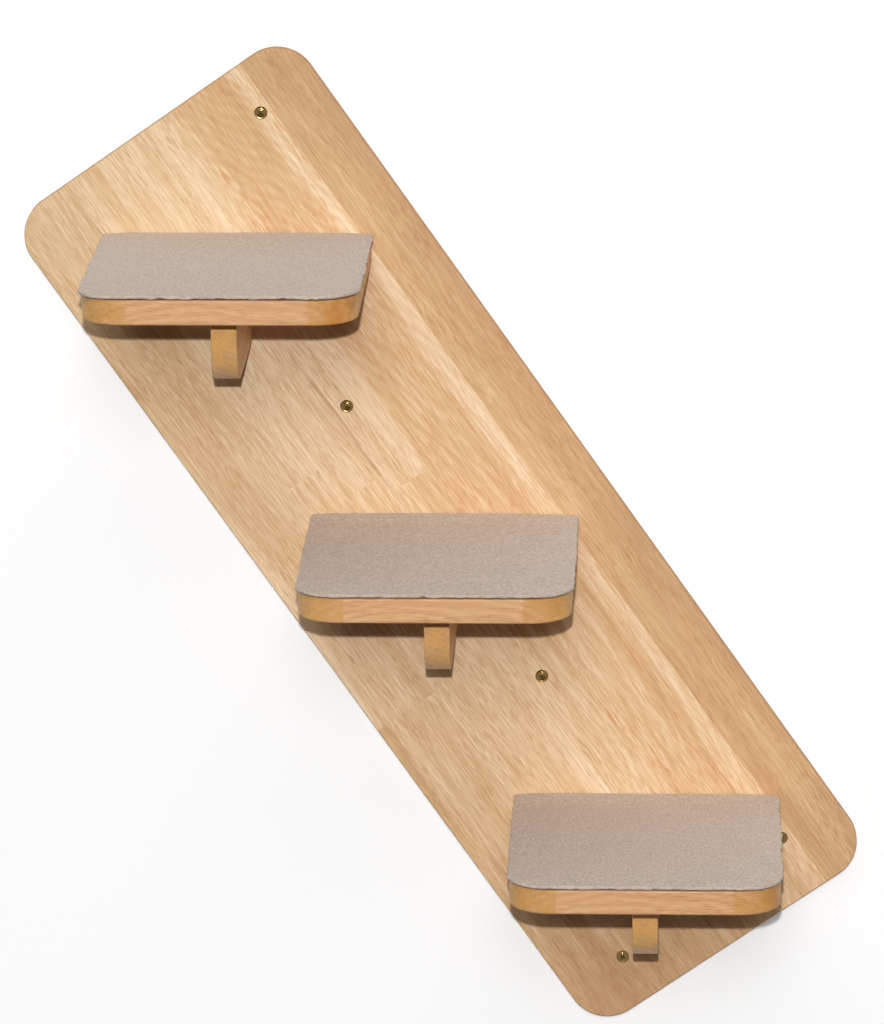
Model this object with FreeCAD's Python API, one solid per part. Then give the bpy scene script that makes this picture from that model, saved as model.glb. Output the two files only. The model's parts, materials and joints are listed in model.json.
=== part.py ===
import FreeCAD, Part
import math
import os

# A cat tree for a wall: a leaning board carries three level shelves, like the treads of a stair.
# Millimetres. X runs to the right along the wall, -Y out of the wall into the room, +Z up.
# The origin is the middle of the board's back face, which lies on the wall.

Vector = FreeCAD.Vector

# ---- Driving dimensions -------------------------------------------------------------------------

# Back board
board_length = 1000.0
board_width = 332.0
board_thickness = 12.0
board_corner_radius = 40.0
board_edge_radius = 1.5
board_lean = 55.2  # degrees: its long side runs down to the right, this far below the horizontal

# Shelves
shelf_width = 258.0
shelf_depth = 281.0
shelf_thickness = 24.0
shelf_corner_radius = 40.0
shelf_edge_radius = 2.0
shelf_spacing = 347.0  # from one shelf to the next, along the board
middle_shelf_height = 19.5  # its top, above the middle of the board

# Bracket bars under the shelves
bracket_width = 24.5
bracket_reach = 203.0
bracket_height = 79.0
bracket_nose_radius = 50.0
bracket_edge_radius = 1.0

# Fabric mats
mat_thickness = 3.5
mat_overhang = 2.0
mat_gap_to_board = 1.0
mat_back_corner_radius = 6.0
mat_edge_radius = 1.2

# Hook strips on the shelf, loop strips on the mat
hook_thickness = 1.0
loop_thickness = 1.0
strip_width = 20.0
strip_end_inset = 26.0  # from a shelf's side to the strip's end
strip_row_inset = 50.0  # from the board, and from the shelf's front, to a strip's middle
strip_gap = 0.1  # between hooks and loops, so that the mat lifts off freely

# Wall screws
wall_screw_length = 60.0
wall_thread_diameter = 6.0
wall_shank_diameter = 4.2
wall_head_diameter = 12.6
wall_recess_span = 6.4
end_screw_inset = 50.0  # from the board's short end
side_screw_inset = 66.0  # from the board's long side
lower_right_screw_inset = 63.0  # from the short end, for the screw beside the bottom shelf
middle_screw_offset = 166.0  # from the board's middle, along the board

# Wood screws that hold the shelves and the brackets
wood_screw_length = 50.0
wood_thread_diameter = 4.5
wood_head_diameter = 8.8
wood_recess_span = 4.8
shelf_screw_spread = 95.0  # either side of the shelf's middle
bracket_screw_inset = 18.0  # from the bracket's top, and from its underside
brace_screw_back = 60.0  # from the board to the bracket's rear upright screw
brace_screw_front = 130.0  # from the board to its front upright screw
brace_tip_cover = 4.0  # wood left between an upright screw's tip and the shelf's top

# Dowels between board and shelf
dowel_diameter = 8.0
dowel_length = 36.0
dowel_spread = 55.0  # either side of the shelf's middle
dowel_board_cover = 3.0  # wood left behind a dowel in the board
dowel_chamfer = 0.8

# Clearances and cutter details
screw_clearance = 0.1  # around a screw's thread, cone and head
thread_passage = 0.25  # around a wall screw's thread where it passes through the board
dowel_clearance = 0.05
hole_end_gap = 1.0  # past the end of a screw or a dowel
head_sink = 0.3  # a screw's head lies this far under the surface
head_rim = 0.5  # straight edge of a screw's head
counterbore_clearance = 0.6
recess_depth_share = 0.45  # of the recess's span
recess_wing_share = 0.2
recess_floor_share = 0.4
tip_length_share = 1.2  # of the thread's diameter
overcut = 2.0  # cutters start this far outside the surface

# ---- Places that follow from them ---------------------------------------------------------------

lean = math.radians(board_lean)
step_run = shelf_spacing * math.cos(lean)
step_rise = shelf_spacing * math.sin(lean)
board_face = -board_thickness
LEVELS = {"top": -1, "middle": 0, "bottom": 1}


def shelf_place(level):
    """Middle of a shelf's top surface along the wall, and its height."""
    steps = LEVELS[level]
    return steps * step_run, middle_shelf_height - steps * step_rise


# ---- Helpers ------------------------------------------------------------------------------------


def plate(x_low, x_high, y_low, y_high, z_low, height, front_radius, back_radius):
    """A level plate with rounded corners: y_low is its front, y_high its back next to the board."""
    corners = [
        (x_low, y_low, front_radius),
        (x_high, y_low, front_radius),
        (x_high, y_high, back_radius),
        (x_low, y_high, back_radius),
    ]
    return Part.Face(rounded_wire(corners, z_low)).extrude(Vector(0, 0, height))


def rounded_wire(corners, z):
    """A closed outline through (x, y, radius) corners at height z, each corner an arc of its radius."""
    edges = []
    count = len(corners)
    stops = []
    for i, (x, y, radius) in enumerate(corners):
        here = Vector(x, y, z)
        before = Vector(*corners[i - 1][:2], z)
        after = Vector(*corners[(i + 1) % count][:2], z)
        to_before = (before - here).normalize()
        to_after = (after - here).normalize()
        bisector = (to_before + to_after).normalize()
        middle = here + bisector * (radius * (math.sqrt(2.0) - 1.0))
        stops.append((here + to_before * radius, middle, here + to_after * radius, radius))
    for i, (start, middle, end, radius) in enumerate(stops):
        if radius > 0:
            edges.append(Part.Arc(start, middle, end).toShape())
        edges.append(Part.LineSegment(end, stops[(i + 1) % count][0]).toShape())
    return Part.Wire(edges)


def rounded_rims(solid, radius, chosen):
    """Rounds the edges whose box the function chosen accepts."""
    edges = [edge for edge in solid.Edges if chosen(edge.BoundBox)]
    return solid.makeFillet(radius, edges)


def turned(points):
    """A solid of revolution about +Z through (radius, z) points, closed on the axis."""
    outline = [Vector(0, 0, points[0][1])]
    outline += [Vector(radius, 0, z) for radius, z in points]
    if points[-1][0] > 0:
        outline.append(Vector(0, 0, points[-1][1]))
    outline.append(outline[0])
    face = Part.Face(Part.makePolygon(outline))
    return face.revolve(Vector(0, 0, 0), Vector(0, 0, 1), 360)


def aimed(shape, place, direction):
    """Turns a shape made along +Z to the direction, and moves its origin to the place."""
    turn = FreeCAD.Rotation(Vector(0, 0, 1), direction)
    moved = shape.copy()
    moved.Placement = FreeCAD.Placement(place, turn)
    return moved


def cross_recess(span):
    """A tapered cross cutter that points down +Z from the head's face."""
    depth = span * recess_depth_share
    wing = span * recess_wing_share
    top = span / 2
    floor = top * recess_floor_share
    profile = [(-top, -overcut), (top, -overcut), (top, 0), (floor, depth), (-floor, depth), (-top, 0)]
    points = [Vector(x, -wing / 2, z) for x, z in profile]
    face = Part.Face(Part.makePolygon(points + [points[0]]))
    one = face.extrude(Vector(0, wing, 0))
    other = one.copy()
    other.rotate(Vector(0, 0, 0), Vector(0, 0, 1), 90)
    return one.fuse(other)


def screw(head_diameter, shank_diameter, thread_diameter, thread_start, length, recess_span):
    """A countersunk screw along +Z, with its head's face at z = 0 and a point at z = length."""
    head = head_diameter / 2
    shank = shank_diameter / 2
    thread = thread_diameter / 2
    tip = length - thread_diameter * tip_length_share
    points = [(head, 0), (head, head_rim), (shank, head_rim + head - shank)]
    if thread > shank:
        points.append((shank, thread_start))
        points.append((thread, thread_start))
    points += [(thread, tip), (0, length)]
    return turned(points).cut(cross_recess(recess_span))


def screw_hole(head_diameter, bore_diameter, length):
    """The cutter for a countersunk screw that is aimed as screw() is."""
    head = head_diameter / 2 + screw_clearance
    bore = bore_diameter / 2
    end = length + hole_end_gap
    return turned([(head, -overcut), (head, head_rim), (bore, head_rim + head - bore), (bore, end)])


def cut_all(solid, cutters):
    for cutter in cutters:
        solid = solid.cut(cutter)
    return solid


# ---- Fasteners and their holes ------------------------------------------------------------------


def on_board(along, across, y):
    """A point given along and across the leaning board, in the part's own frame."""
    x = along * math.cos(lean) + across * math.sin(lean)
    z = across * math.cos(lean) - along * math.sin(lean)
    return Vector(x, y, z)


def wall_screw_places():
    """Two screws on the board's centre line, one near its top corner and two near its lower end."""
    end = board_length / 2 - end_screw_inset
    lower_end = board_length / 2 - lower_right_screw_inset
    side = board_width / 2 - side_screw_inset
    spots = [
        (-end, side),
        (-middle_screw_offset, 0),
        (middle_screw_offset, 0),
        (lower_end, side),
        (end, -side),
    ]
    return [on_board(along, across, board_face + head_sink) for along, across in spots]


def wall_screws():
    thread_start = board_thickness - head_sink
    one = screw(
        wall_head_diameter,
        wall_shank_diameter,
        wall_thread_diameter,
        thread_start,
        wall_screw_length,
        wall_recess_span,
    )
    return [aimed(one, place, Vector(0, 1, 0)) for place in wall_screw_places()]


def wall_screw_holes():
    bore = wall_thread_diameter + 2 * thread_passage
    one = screw_hole(wall_head_diameter, bore, wall_screw_length)
    return [aimed(one, place, Vector(0, 1, 0)) for place in wall_screw_places()]


def wood_screws(places, direction):
    one = screw(
        wood_head_diameter,
        wood_thread_diameter,
        wood_thread_diameter,
        0,
        wood_screw_length,
        wood_recess_span,
    )
    return [aimed(one, place, direction) for place in places]


def wood_screw_holes(places, direction):
    bore = wood_thread_diameter + 2 * screw_clearance
    one = screw_hole(wood_head_diameter, bore, wood_screw_length)
    return [aimed(one, place, direction) for place in places]


def shelf_screw_places(level):
    """From behind the board into the middle of the shelf's back edge."""
    x, top = shelf_place(level)
    z = top - shelf_thickness / 2
    return [Vector(x + side * shelf_screw_spread, -head_sink, z) for side in (-1, 1)]


def bracket_screw_places(level):
    """From behind the board into the bracket's end, one above the other."""
    x, top = shelf_place(level)
    bracket_top = top - shelf_thickness
    upper = bracket_top - bracket_screw_inset
    lower = bracket_top - bracket_height + bracket_screw_inset
    return [Vector(x, -head_sink, z) for z in (upper, lower)]


def brace_screw_places(level):
    """Upright through the bracket, in counterbores, with their tips inside the shelf."""
    x, top = shelf_place(level)
    head = top - brace_tip_cover - wood_screw_length
    return [Vector(x, board_face - back, head) for back in (brace_screw_back, brace_screw_front)]


def brace_counterbores(level):
    """Holes up from the bracket's underside to the heads of its upright screws."""
    top = shelf_place(level)[1]
    underside = top - shelf_thickness - bracket_height
    radius = wood_head_diameter / 2 + counterbore_clearance
    cutters = []
    for place in brace_screw_places(level):
        start = Vector(place.x, place.y, underside - overcut)
        cutters.append(Part.makeCylinder(radius, place.z - start.z, start, Vector(0, 0, 1)))
    return cutters


def dowel_places(level):
    """The ends inside the board of the dowels that point out of it into the shelf."""
    x, top = shelf_place(level)
    z = top - shelf_thickness / 2
    return [Vector(x + side * dowel_spread, -dowel_board_cover, z) for side in (-1, 1)]


def shelf_dowels(level):
    radius = dowel_diameter / 2
    neck = radius - dowel_chamfer
    one = turned(
        [
            (neck, 0),
            (radius, dowel_chamfer),
            (radius, dowel_length - dowel_chamfer),
            (neck, dowel_length),
        ]
    )
    return [aimed(one, place, Vector(0, -1, 0)) for place in dowel_places(level)]


def dowel_holes(level):
    radius = dowel_diameter / 2 + dowel_clearance
    one = turned([(radius, -dowel_clearance), (radius, dowel_length + hole_end_gap)])
    return [aimed(one, place, Vector(0, -1, 0)) for place in dowel_places(level)]


def back_holes(level):
    """Every hole that runs forward out of the board at one shelf."""
    forward = Vector(0, -1, 0)
    places = shelf_screw_places(level) + bracket_screw_places(level)
    return wood_screw_holes(places, forward) + dowel_holes(level)


# ---- Wooden pieces ------------------------------------------------------------------------------


def back_board():
    half_length = board_length / 2
    half_width = board_width / 2
    board = plate(
        -half_length,
        half_length,
        -half_width,
        half_width,
        0,
        board_thickness,
        board_corner_radius,
        board_corner_radius,
    )
    board = rounded_rims(board, board_edge_radius, lambda box: box.ZLength < board_edge_radius)
    # stand it up against the wall, then lean it
    board.rotate(Vector(0, 0, 0), Vector(1, 0, 0), 90)
    board.rotate(Vector(0, 0, 0), Vector(0, 1, 0), board_lean)
    board = cut_all(board, wall_screw_holes())
    for level in LEVELS:
        board = cut_all(board, back_holes(level))
    return board


def shelf(level):
    x, top = shelf_place(level)
    half = shelf_width / 2
    front = board_face - shelf_depth
    panel = plate(
        x - half,
        x + half,
        front,
        board_face,
        top - shelf_thickness,
        shelf_thickness,
        shelf_corner_radius,
        0,
    )
    # the rims of the top and the underside, but not the edges that lie on the board
    panel = rounded_rims(
        panel,
        shelf_edge_radius,
        lambda box: box.ZLength < shelf_edge_radius and box.YMin < board_face - shelf_edge_radius,
    )
    panel = cut_all(panel, back_holes(level))
    return cut_all(panel, wood_screw_holes(brace_screw_places(level), Vector(0, 0, 1)))


def bracket(level):
    x, top = shelf_place(level)
    bracket_top = top - shelf_thickness
    underside = bracket_top - bracket_height
    front = board_face - bracket_reach
    nose = min(bracket_nose_radius, bracket_height - bracket_edge_radius * 2)
    bend = nose * (1 - math.sqrt(0.5))
    left = x - bracket_width / 2

    def at(y, z):
        return Vector(left, y, z)

    edges = [
        Part.LineSegment(at(board_face, bracket_top), at(front, bracket_top)).toShape(),
        Part.LineSegment(at(front, bracket_top), at(front, underside + nose)).toShape(),
        Part.Arc(
            at(front, underside + nose),
            at(front + bend, underside + bend),
            at(front + nose, underside),
        ).toShape(),
        Part.LineSegment(at(front + nose, underside), at(board_face, underside)).toShape(),
        Part.LineSegment(at(board_face, underside), at(board_face, bracket_top)).toShape(),
    ]
    bar = Part.Face(Part.Wire(edges)).extrude(Vector(bracket_width, 0, 0))
    # the long rims of its two sides, but not those against the shelf and the board
    bar = rounded_rims(
        bar,
        bracket_edge_radius,
        lambda box: box.XLength < bracket_edge_radius
        and box.YMin < board_face - bracket_edge_radius
        and box.ZMin < bracket_top - bracket_edge_radius,
    )
    bar = cut_all(bar, back_holes(level))
    bar = cut_all(bar, brace_counterbores(level))
    return cut_all(bar, wood_screw_holes(brace_screw_places(level), Vector(0, 0, 1)))


# ---- Mats and their strips ----------------------------------------------------------------------


def mat(level):
    x, top = shelf_place(level)
    half = shelf_width / 2 + mat_overhang
    low = top + hook_thickness + strip_gap + loop_thickness
    sheet = plate(
        x - half,
        x + half,
        board_face - shelf_depth - mat_overhang,
        board_face - mat_gap_to_board,
        low,
        mat_thickness,
        shelf_corner_radius + mat_overhang,
        mat_back_corner_radius,
    )
    return rounded_rims(sheet, mat_edge_radius, lambda box: box.ZLength < mat_edge_radius)


def strips(level, low, thickness):
    """Two strips across the shelf, one near the board and one near the shelf's front."""
    x = shelf_place(level)[0]
    half = shelf_width / 2 - strip_end_inset
    pair = []
    for middle in (board_face - strip_row_inset, board_face - shelf_depth + strip_row_inset):
        corner = Vector(x - half, middle - strip_width / 2, low)
        pair.append(Part.makeBox(2 * half, strip_width, thickness, corner))
    return pair


def hook_strips(level):
    return strips(level, shelf_place(level)[1], hook_thickness)


def loop_strips(level):
    low = shelf_place(level)[1] + hook_thickness + strip_gap
    return strips(level, low, loop_thickness)


# ---- All pieces, one file each ------------------------------------------------------------------


def all_nodes():
    nodes = {"back_board": [back_board()], "wall_screws": wall_screws()}
    for level in LEVELS:
        nodes["shelf_" + level] = [shelf(level)]
        nodes["bracket_" + level] = [bracket(level)]
        nodes["mat_" + level] = [mat(level)]
        nodes["hook_strips_" + level] = hook_strips(level)
        nodes["loop_strips_" + level] = loop_strips(level)
        nodes["shelf_dowels_" + level] = shelf_dowels(level)
        nodes["shelf_screws_" + level] = wood_screws(shelf_screw_places(level), Vector(0, -1, 0))
        nodes["bracket_screws_" + level] = wood_screws(bracket_screw_places(level), Vector(0, -1, 0))
        nodes["brace_screws_" + level] = wood_screws(brace_screw_places(level), Vector(0, 0, 1))
    return nodes


os.makedirs("parts", exist_ok=True)
for name, solids in all_nodes().items():
    shape = solids[0] if len(solids) == 1 else Part.makeCompound(solids)
    shape.exportStep("parts/" + name + ".step")
    print(name, len(shape.Solids), "solid(s), volume", round(shape.Volume), "valid", shape.isValid())
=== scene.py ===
# %% [markdown]
# # A stair of cat shelves on a leaning board
#
# A rectangular wooden board hangs on a wall and leans to the right. Three level shelves stand out
# of it like the treads of a stair, each with a bracket bar under its middle and a thin woven mat
# on top that lifts off for washing.
#
# The measured model of every piece is already there. This lesson dresses it: it models the wood,
# the screws and the fabric again with rounded edges, threads and weave, gives each its finish, and
# lights it on a white wall. Lengths are metres, X runs to the right along the wall, -Y out into the
# room and +Z up.

# %% Tools, and the measured model
import json
import math

import bmesh
import bpy
from mathutils import Matrix, Vector, noise


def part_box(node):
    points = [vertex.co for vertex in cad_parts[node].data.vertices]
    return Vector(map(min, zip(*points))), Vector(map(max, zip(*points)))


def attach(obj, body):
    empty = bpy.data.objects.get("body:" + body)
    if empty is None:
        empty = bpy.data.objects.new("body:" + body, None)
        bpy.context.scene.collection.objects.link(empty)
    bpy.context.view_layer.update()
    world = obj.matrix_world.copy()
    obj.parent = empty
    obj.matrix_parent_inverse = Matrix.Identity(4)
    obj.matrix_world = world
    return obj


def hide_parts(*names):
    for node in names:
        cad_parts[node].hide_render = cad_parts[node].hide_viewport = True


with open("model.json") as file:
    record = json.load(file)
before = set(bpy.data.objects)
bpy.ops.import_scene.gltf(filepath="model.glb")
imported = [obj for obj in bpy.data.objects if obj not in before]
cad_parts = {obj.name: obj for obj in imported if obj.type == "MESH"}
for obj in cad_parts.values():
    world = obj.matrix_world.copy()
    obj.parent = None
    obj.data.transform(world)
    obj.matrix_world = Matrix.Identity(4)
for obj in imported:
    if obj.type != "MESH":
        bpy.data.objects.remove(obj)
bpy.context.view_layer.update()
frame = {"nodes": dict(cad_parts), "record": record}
nodes = frame["nodes"]
print("measured pieces:", len(nodes))

# %% [markdown]
# ## Where things are
#
# Nothing is placed by eye. The wall screws' mounts tell how far the board leans: the two screws in
# its middle lie on its centre line. Every other size is read from the measured pieces, along the
# directions that this gives. Only the roundings and the small parts of the joints are named here,
# with the same values as in the measured model.

# %% Directions and sizes
LEVELS = ("top", "middle", "bottom")
OUT = Vector((0, -1, 0))
UP = Vector((0, 0, 1))

mounts = {mount["name"]: mount for mount in frame["record"]["mounts"]}
centre_line = Vector(mounts["wall_screw_lower_middle"]["pos_m"])
centre_line -= Vector(mounts["wall_screw_upper_middle"]["pos_m"])
ALONG = centre_line.normalized()
ACROSS = OUT.cross(ALONG)
lean = math.atan2(-ALONG.z, ALONG.x)


def reach(node, direction):
    """How far a measured piece goes along a direction: its lowest and its highest value."""
    values = [vertex.co.dot(direction) for vertex in nodes[node].data.vertices]
    return min(values), max(values)


def extent(node, direction):
    low, high = reach(node, direction)
    return high - low


board_length = extent("back_board", ALONG)
board_width = extent("back_board", ACROSS)
board_thickness = extent("back_board", OUT)
print(f"lean {math.degrees(lean):.1f} degrees, board {board_length:.3f} x {board_width:.3f} m")

# %% [markdown]
# ## Working with meshes
#
# Each piece starts as a simple form in its own small space and is shaped there by mesh operators.
# Only then is it turned and moved to its place, in the mesh itself, so that the object stays at the
# origin like the measured pieces. Edges sharper than a limit are marked sharp. All faces are smooth,
# and a weighted-normal modifier keeps the large flat faces flat beside their rounded rims.

# %% Helpers: from a bmesh to a finished piece
SHARP_ANGLE = math.radians(35)
WELD = 1e-6


def placed(origin, direction, turn=0.0):
    """A matrix that stands a form made along +Z at the origin point, along the direction."""
    aim = direction.to_track_quat("Z", "Y").to_matrix().to_4x4()
    return Matrix.Translation(origin) @ aim @ Matrix.Rotation(turn, 4, "Z")


def cleaned(bm):
    """Welds a form and points its faces outwards.

    Blender guesses the outside, and on a long thread it can guess wrong. A closed form that is
    inside out has a negative volume.
    """
    bmesh.ops.remove_doubles(bm, verts=bm.verts, dist=WELD)
    bmesh.ops.recalc_face_normals(bm, faces=bm.faces)
    if bm.calc_volume(signed=True) < 0:
        bmesh.ops.reverse_faces(bm, faces=bm.faces)
    return bm


def as_object(bm, name):
    mesh = bpy.data.meshes.new(name)
    bm.to_mesh(mesh)
    bm.free()
    piece = bpy.data.objects.new(name, mesh)
    bpy.context.scene.collection.objects.link(piece)
    return piece


def to_object(bm, name):
    """Cleans a form and makes it an object."""
    return as_object(cleaned(bm), name)


def smooth_with_sharp_edges(piece):
    """Smooth faces, with the edges past the limit kept sharp."""
    bm = bmesh.new()
    bm.from_mesh(piece.data)
    for face in bm.faces:
        face.smooth = True
    for edge in bm.edges:
        edge.smooth = edge.calc_face_angle(math.pi) < SHARP_ANGLE
    bm.to_mesh(piece.data)
    bm.free()


def finished(piece, node, body, material, flat_faces=False):
    """Dresses a piece, lets it ride on its body and stand for the measured node."""
    smooth_with_sharp_edges(piece)
    if flat_faces:
        weighted = piece.modifiers.new("flat faces stay flat", "WEIGHTED_NORMAL")
        weighted.keep_sharp = True
    piece.data.materials.clear()
    piece.data.materials.append(material)
    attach(piece, body)
    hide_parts(node)
    print(f"{piece.name}: {len(piece.data.polygons)} faces")
    return piece


def joined(forms):
    """One bmesh with a copy of each cleaned (bmesh, matrix) form in its place."""
    whole = bmesh.new()
    for form, matrix in forms:
        mesh = bpy.data.meshes.new("form")
        form.to_mesh(mesh)
        mesh.transform(matrix)
        whole.from_mesh(mesh)
        bpy.data.meshes.remove(mesh)
    return whole


def carve(piece, cutters):
    """Cuts the (bmesh, matrix) cutters out of a piece with one exact boolean, and applies it."""
    tool = to_object(joined(cutters), "cutter")
    cut = piece.modifiers.new("holes", "BOOLEAN")
    cut.operation = "DIFFERENCE"
    cut.solver = "EXACT"
    cut.use_self = True
    cut.object = tool
    graph = bpy.context.evaluated_depsgraph_get()
    mesh = bpy.data.meshes.new_from_object(piece.evaluated_get(graph))
    piece.modifiers.clear()
    piece.data = mesh
    bpy.data.objects.remove(tool)


# %% [markdown]
# A turned form is a half outline spun round its axis, as on a lathe. It serves twice: for the body
# of a screw or a dowel, and, a little larger, as the drill that cuts its hole.


# %% Helper: turned forms
def turned(outline, steps=32):
    """A solid of revolution round Z through (radius, height) points, from the axis to the axis."""
    bm = bmesh.new()
    points = [bm.verts.new((radius, 0, height)) for radius, height in outline]
    edges = [bm.edges.new(pair) for pair in zip(points, points[1:])]
    bmesh.ops.spin(
        bm,
        geom=points + edges,
        cent=(0, 0, 0),
        axis=(0, 0, 1),
        angle=2 * math.pi,
        steps=steps,
        use_merge=True,
    )
    return cleaned(bm)


# %% [markdown]
# ## The way a finish is written
#
# Every finish is a small node graph. Written out node by node it would be hard to read, so a
# recipe object adds nodes and links them in one call each: a plain number goes into the socket as
# it is, and another node's output is linked. All patterns read object coordinates in metres. The
# pieces sit at the origin, so the grain of every piece lies where its wood is. A noise's scale is
# then about the number of its blots in a metre.


# %% Helper: recipes for finishes
def colour(red, green, blue):
    """A colour as a paint chart gives it, from 0 to 255, as the linear colour that shaders use."""
    shares = [value / 255 for value in (red, green, blue)]
    return tuple(s / 12.92 if s <= 0.04045 else ((s + 0.055) / 1.055) ** 2.4 for s in shares) + (1,)


class Recipe:
    """One material or world, and short calls that add nodes to it and return their outputs."""

    def __init__(self, name, kind="materials"):
        self.owner = getattr(bpy.data, kind).new(name)
        self.owner.use_nodes = True
        self.tree = self.owner.node_tree
        self.tree.nodes.clear()
        self.position = self.node("TexCoord", {}, "Object")

    def node(self, kind, inputs, output=0, **settings):
        """Adds a shader node, sets its options and inputs, and returns one of its outputs."""
        made = self.tree.nodes.new("ShaderNode" + kind)
        for option, value in settings.items():
            setattr(made, option, value)
        for socket, value in inputs.items():
            if isinstance(value, bpy.types.NodeSocket):
                self.tree.links.new(value, made.inputs[socket])
            else:
                made.inputs[socket].default_value = value
        return made.outputs[output] if made.outputs else None

    def math(self, operation, first, second=0.0):
        return self.node("Math", {0: first, 1: second}, operation=operation)

    def plus(self, first, *more):
        for value in more:
            first = self.math("ADD", first, value)
        return first

    def minus(self, first, second):
        return self.math("SUBTRACT", first, second)

    def times(self, first, *more):
        for value in more:
            first = self.math("MULTIPLY", first, value)
        return first

    def axes(self, vector):
        """The three outputs X, Y and Z of a vector."""
        return self.node("SeparateXYZ", {"Vector": vector}).node.outputs

    def facing(self, axis):
        """How much the surface looks along an axis of the object, from -1 to 1."""
        return self.axes(self.node("TexCoord", {}, "Normal"))[axis]

    def shifted(self, vector, amount):
        """Moves a vector by the same amount along all three axes."""
        shift = self.node("CombineXYZ", {"X": amount, "Y": amount, "Z": amount})
        return self.node("VectorMath", {0: vector, 1: shift}, operation="ADD")

    def moved(self, vector, location=(0, 0, 0), rotation=(0, 0, 0), scale=(1, 1, 1)):
        sockets = {"Vector": vector, "Location": location, "Rotation": rotation, "Scale": scale}
        return self.node("Mapping", sockets)

    def noise(self, vector, scale=1.0, detail=2.0, roughness=0.5, distortion=0.0):
        sockets = {"Vector": vector, "Scale": scale, "Detail": detail}
        sockets |= {"Roughness": roughness, "Distortion": distortion}
        return self.node("TexNoise", sockets, "Fac")

    def ramp(self, factor, low, high, start=0.0, end=1.0):
        """Moves the range from low to high on to the range from start to end, and clamps it."""
        sockets = {"Value": factor, "From Min": low, "From Max": high}
        sockets |= {"To Min": start, "To Max": end}
        return self.node("MapRange", sockets)

    def blend(self, factor, first, second, mode="MIX"):
        sockets = {0: factor, 6: first, 7: second}
        return self.node("Mix", sockets, 2, data_type="RGBA", blend_type=mode)

    def steps(self, factor, stops):
        """A ramp without blending between its (position, colour) stops."""
        output = self.node("ValToRGB", {"Fac": factor})
        ramp = output.node.color_ramp
        ramp.interpolation = "CONSTANT"
        while len(ramp.elements) < len(stops):
            ramp.elements.new(1.0)
        for element, (position, value) in zip(ramp.elements, stops):
            element.position = position
            element.color = (*value, 1)
        return output

    def surface(self, bump=None, bump_strength=0.2, bump_distance=0.0002, **sockets):
        """Ends the recipe with one main shader, whose constant values sit on its own sockets."""
        inputs = {name.replace("_", " "): value for name, value in sockets.items()}
        if bump is not None:
            raised = {"Height": bump, "Strength": bump_strength, "Distance": bump_distance}
            inputs["Normal"] = self.node("Bump", raised)
        shader = self.node("BsdfPrincipled", inputs)
        self.node("OutputMaterial", {"Surface": shader})
        print(f"{self.owner.name}: {len(self.tree.nodes)} shader nodes")
        return self.owner


# %% [markdown]
# ## The board's wood
#
# The board is glued from six long staves of pale hardwood, some of them made of two lengths that
# meet end to end. Its picture has five scales: the tone of each length, broad lighter and darker
# streaks, fine fibres, the pores, which are dark dashes a few millimetres long, and nested arches
# where the saw has cut through the year rings at a slant, as in the widest stave.
#
# A photograph of wood laid on the faces would need a cut of its own for each face. Noise fills
# space instead, so the pattern runs round every rim and into every hole, as real wood does. All the
# scales but the tones and the arches are noise that is stretched along the grain, and a slow
# sideways wander keeps the streaks from running like ruled lines. Tones are numbers from 0, pale,
# over 0.5, honey, to a little over 1, tan, so the scales can simply be added up.

# %% The wood's colours
PALE = colour(239, 209, 171)
HONEY = colour(222, 183, 138)
TAN = colour(202, 159, 117)
CREAM = colour(250, 228, 196)
VESSEL = colour(172, 112, 60)
ORANGE_VESSEL = colour(222, 142, 84)
RIM_BROWN = colour(176, 126, 80)
# a cooler tint for the board's upper end, part of its painted shade
UPPER_END_SHADE_TINT = colour(250, 254, 255)

# %% Recipe: grain that any wooden piece can use
# blots in a metre, along the fibres and twice across them
STREAKS = (2.6, 56, 56)
FIBRES = (18, 1100, 1100)
PORES = (75, 900, 900)
PORE_CROWDS = (10, 60, 60)
WANDER = (5, 16, 16)


def grain(recipe, fibre, wander=0.004):
    """Broad streaks, fine fibres and pores for a position whose X axis runs along the fibres."""
    bend = recipe.minus(recipe.noise(recipe.moved(fibre, scale=WANDER), detail=1), 0.5)
    bend = recipe.times(bend, wander)
    sideways = recipe.node("CombineXYZ", {"X": 0.0, "Y": bend, "Z": bend})
    fibre = recipe.node("VectorMath", {0: fibre, 1: sideways}, operation="ADD")
    broad = recipe.noise(recipe.moved(fibre, scale=STREAKS), detail=3, roughness=0.5)
    fine = recipe.noise(recipe.moved(fibre, scale=FIBRES), detail=2, roughness=0.7)
    dashes = recipe.noise(recipe.moved(fibre, scale=PORES), detail=1)
    crowd = recipe.noise(recipe.moved(fibre, scale=PORE_CROWDS), detail=2)
    pores = recipe.times(recipe.ramp(dashes, 0.50, 0.64), recipe.ramp(crowd, 0.36, 0.60, 0.35, 1.0))
    return broad, fine, pores


# %% Helper: nested arches
def arches(recipe, along, across, pitch, reach_out):
    """Stripes of about the pitch whose lines curve back with the square of the way along."""
    place = recipe.node("CombineXYZ", {"X": along, "Y": across, "Z": 0.0})
    bend = recipe.noise(recipe.moved(place, scale=(9, 26, 1)), detail=3)
    phase = recipe.plus(across, recipe.times(along, along, reach_out), recipe.times(bend, 0.03))
    wave = recipe.math("SINE", recipe.times(phase, 2 * math.pi / pitch))
    return recipe.ramp(wave, -1, 1)


# %% [markdown]
# The staves are a short table, because each one is its own piece of wood. It is put into the shader
# as two stepped ramps over the board's width, whose three colour channels carry the numbers. Each
# length takes its grain from another place of the noise, so that no streak runs across a joint.

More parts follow.
